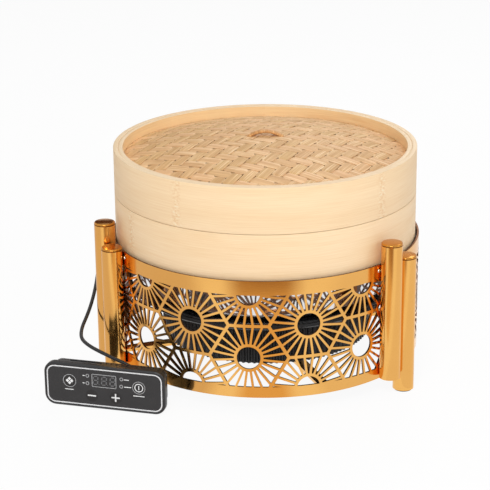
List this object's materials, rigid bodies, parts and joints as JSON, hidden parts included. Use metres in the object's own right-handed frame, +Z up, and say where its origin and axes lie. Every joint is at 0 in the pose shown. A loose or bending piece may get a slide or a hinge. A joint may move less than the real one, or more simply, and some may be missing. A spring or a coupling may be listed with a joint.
{
  "type": "dumpling steamer",
  "caption": "Counter-top dumpling steamer: bamboo basket and lid on a water pan and induction cooker in a pierced gold ring, with a corded control box.",
  "frame": {"origin": "on the counter, under the centre of the footprint of stand and control box together", "axes": "+Z up; the front with the control box faces -Y; +X to the right seen from the front"},
  "size_m": [0.391, 0.3524, 0.2535],
  "materials": {
    "gold": "mirror-polished rose-gold plated stainless sheet and tube",
    "gold_cap": "polished rose-gold plated stainless",
    "rubber": "matt black rubber",
    "cooker_black": "black moulded plastic, slightly glossy",
    "cooker_glass": "glossy black ceramic glass, opaque",
    "control_face": "dark grey film under a clear face",
    "copper": "varnished copper litz wire",
    "inner_plastic": "black heat-proof plastic",
    "circuit_board": "green circuit board",
    "aluminium": "bare extruded aluminium",
    "stainless": "mirror-polished stainless steel",
    "bamboo": "pale bare bamboo strip with fine grain",
    "weave": "woven bamboo strips",
    "cane": "bent cane strip",
    "cord": "black flexible cord"
  },
  "bodies": {
    "stand": {"coil_carrier": "inner_plastic", "control_case": "cooker_black", "control_cord": "cord", "control_fascia": "control_face", "control_frame": "cooker_black", "control_gland": "rubber", "cooker_feet": "rubber", "cooker_flange": "cooker_black", "cooker_gland": "rubber", "cooker_glass": "cooker_glass", "cooker_housing": "cooker_black", "cross_bar_front": "gold", "cross_bar_side": "gold", "display_module": "inner_plastic", "fan_frame": "inner_plastic", "foot_pads": "rubber", "foot_post_caps": "gold_cap", "foot_post_left": "gold", "foot_post_rear": "gold", "foot_post_right": "gold", "heat_sensor": "inner_plastic", "heat_sink": "aluminium", "induction_coil": "copper", "key_board": "circuit_board", "panel_front": "gold", "panel_rear": "gold", "panel_right": "gold", "power_board": "circuit_board", "raised_post_caps": "gold_cap", "raised_post_left": "gold", "raised_post_rear": "gold", "raised_post_right": "gold", "rim_band_front": "gold", "rim_band_rear": "gold", "rim_band_right": "gold", "rim_brackets": "gold"},
    "fan": {"fan_rotor": "inner_plastic"},
    "pan": {"water_pan": "stainless"},
    "basket": {"basket_hoop": "bamboo", "basket_liner": "bamboo", "basket_slats": "bamboo", "basket_crossbars": "bamboo"},
    "lid": {"lid_hoop": "bamboo", "lid_liner": "bamboo", "lid_weave": "weave", "lid_brace_long": "bamboo", "lid_brace_cross": "bamboo", "lid_handle": "cane"}
  },
  "joints": [
    {"name": "fan_spin", "type": "hinge", "parent": "stand", "child": "fan", "pos_m": [-0.00231, 0.03105, 0.045], "axis": [0, 0, 1], "continuous": true},
    {"name": "pan_lift", "type": "slide", "parent": "stand", "child": "pan", "axis": [0, 0, 1], "range_m": [0, 0.09]},
    {"name": "basket_lift", "type": "slide", "parent": "pan", "child": "basket", "axis": [0, 0, 1], "range_m": [0, 0.06]},
    {"name": "lid_lift", "type": "slide", "parent": "basket", "child": "lid", "axis": [0, 0, 1], "range_m": [0, 0.1]}
  ]
}
